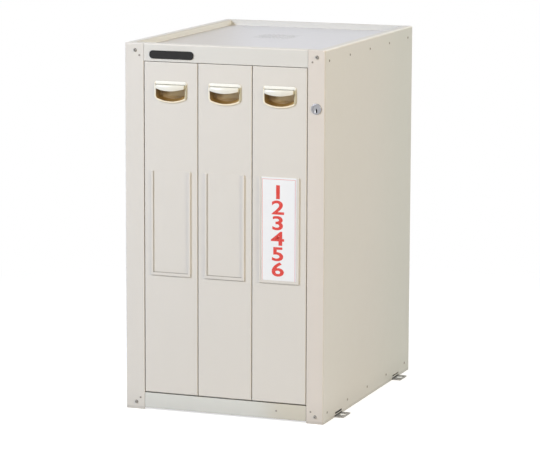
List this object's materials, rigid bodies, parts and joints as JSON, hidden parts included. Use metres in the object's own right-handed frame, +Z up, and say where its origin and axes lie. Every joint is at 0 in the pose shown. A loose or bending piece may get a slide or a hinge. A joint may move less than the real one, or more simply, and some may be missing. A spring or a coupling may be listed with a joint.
{
  "type": "chemical safety cabinet",
  "caption": "Floor-standing steel safety cabinet with tall pull-out racks side by side, cup pulls, label holders, a key lock and slotted floor anchors.",
  "frame": {"origin": "on the floor, at the centre of the four anchor slots, which is the middle of the carcass", "axes": "+Z up, +X to the right as seen from the front, -Y out of the front, the way the racks pull out"},
  "size_m": [0.495, 0.6137, 0.8],
  "materials": {
    "carcass_paint": "satin powder coat",
    "front_paint": "satin powder coat",
    "tray_paint": "satin powder coat",
    "zinc_steel": "zinc plated",
    "fastener_steel": "plated",
    "pull_plastic": "glossy",
    "holder_plastic": "satin",
    "card_paper": "smooth",
    "plate_plastic": "glossy",
    "lock_metal": "satin chrome",
    "nylon": "smooth"
  },
  "bodies": {
    "cabinet": {"side_panel_left": "carcass_paint", "side_panel_right": "carcass_paint", "top_rail": "carcass_paint", "bottom_rail": "carcass_paint", "back_panel": "carcass_paint", "ceiling_panel": "carcass_paint", "floor_panel": "carcass_paint", "rivets": "fastener_steel", "case_screws": "fastener_steel", "anchor_front_left": "zinc_steel", "anchor_front_right": "zinc_steel", "anchor_rear_left": "zinc_steel", "anchor_rear_right": "zinc_steel", "anchor_bolts": "fastener_steel", "name_plate": "plate_plastic", "guide_channels": "zinc_steel", "slide_outer_left": "zinc_steel", "slide_outer_middle": "zinc_steel", "slide_outer_right": "zinc_steel", "lock_housing": "lock_metal", "lock_nut": "lock_metal", "bar_guides": "zinc_steel"},
    "rack_left": {"front_panel_left": "front_paint", "cup_pull_left": "pull_plastic", "label_holder_left": "holder_plastic", "rack_back_left": "tray_paint", "guard_rods_left": "zinc_steel", "top_slider_left": "nylon", "tray_low_left": "tray_paint", "tray_centre_left": "tray_paint", "tray_high_left": "tray_paint", "slide_inner_left": "zinc_steel"},
    "slide_left": {"slide_centre_left": "zinc_steel"},
    "rack_middle": {"front_panel_middle": "front_paint", "cup_pull_middle": "pull_plastic", "label_holder_middle": "holder_plastic", "rack_back_middle": "tray_paint", "guard_rods_middle": "zinc_steel", "top_slider_middle": "nylon", "tray_low_middle": "tray_paint", "tray_centre_middle": "tray_paint", "tray_high_middle": "tray_paint", "slide_inner_middle": "zinc_steel"},
    "slide_middle": {"slide_centre_middle": "zinc_steel"},
    "rack_right": {"front_panel_right": "front_paint", "cup_pull_right": "pull_plastic", "label_holder_right": "holder_plastic", "rack_back_right": "tray_paint", "guard_rods_right": "zinc_steel", "top_slider_right": "nylon", "tray_low_right": "tray_paint", "tray_centre_right": "tray_paint", "tray_high_right": "tray_paint", "slide_inner_right": "zinc_steel", "label_card": "card_paper"},
    "slide_right": {"slide_centre_right": "zinc_steel"},
    "lock_bar": {"lock_bar": "zinc_steel"},
    "lock_plug": {"lock_plug": "lock_metal", "lock_cam": "zinc_steel"}
  },
  "joints": [
    {"name": "rack_slide_left", "type": "slide", "parent": "cabinet", "child": "rack_left", "axis": [0, -1, 0], "range_m": [0, 0.45]},
    {"name": "centre_slide_left", "type": "slide", "parent": "cabinet", "child": "slide_left", "axis": [0, -1, 0], "range_m": [0, 0.225]},
    {"name": "rack_slide_middle", "type": "slide", "parent": "cabinet", "child": "rack_middle", "axis": [0, -1, 0], "range_m": [0, 0.45]},
    {"name": "centre_slide_middle", "type": "slide", "parent": "cabinet", "child": "slide_middle", "axis": [0, -1, 0], "range_m": [0, 0.225]},
    {"name": "rack_slide_right", "type": "slide", "parent": "cabinet", "child": "rack_right", "axis": [0, -1, 0], "range_m": [0, 0.45]},
    {"name": "centre_slide_right", "type": "slide", "parent": "cabinet", "child": "slide_right", "axis": [0, -1, 0], "range_m": [0, 0.225]},
    {"name": "lock_bar_slide", "type": "slide", "parent": "cabinet", "child": "lock_bar", "axis": [0, 0, -1], "range_m": [0, 0.01273]},
    {"name": "lock_turn", "type": "hinge", "parent": "cabinet", "child": "lock_plug", "pos_m": [0.20825, -0.29, 0.676], "axis": [0, 1, 0], "range_deg": [0, 90]}
  ],
  "couplings": [
    {"joint": "centre_slide_left", "follows": "rack_slide_left", "ratio": 0.5},
    {"joint": "centre_slide_middle", "follows": "rack_slide_middle", "ratio": 0.5},
    {"joint": "centre_slide_right", "follows": "rack_slide_right", "ratio": 0.5},
    {"joint": "lock_turn", "follows": "lock_bar_slide", "rad_per_m": 123.41}
  ]
}
